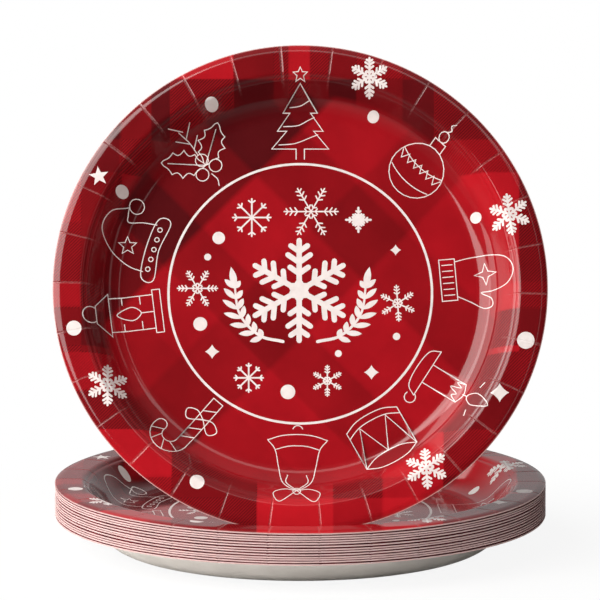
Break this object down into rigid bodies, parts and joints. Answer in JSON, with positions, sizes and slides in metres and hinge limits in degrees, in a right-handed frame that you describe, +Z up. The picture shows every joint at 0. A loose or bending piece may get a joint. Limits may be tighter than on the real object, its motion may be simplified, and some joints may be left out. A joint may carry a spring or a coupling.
{
  "type": "stack of paper plates",
  "caption": "Nested stack of round pleated paper dinner plates with a printed red festive face, and a like plate standing on edge in the top plate.",
  "frame": {"origin": "on the floor, on the axis of the nested stack", "axes": "+Z up along the stack's axis, the standing plate's printed face looks towards -Y"},
  "size_m": [0.2286, 0.2286, 0.2383],
  "materials": {
    "printed_face": "glossy laminated print in festive reds with white ornament",
    "board": "uncoated off-white paper board, pale cut edge"
  },
  "bodies": {
    "root": {"plate_01": "board", "plate_02": "board", "plate_03": "board", "plate_04": "board", "plate_05": "board", "plate_06": "board", "plate_07": "board", "plate_08": "board", "plate_09": "board", "plate_10": "board", "plate_11": "board", "plate_12": "board", "plate_13": "printed_face", "standing_plate": "printed_face"}
  },
  "joints": []
}
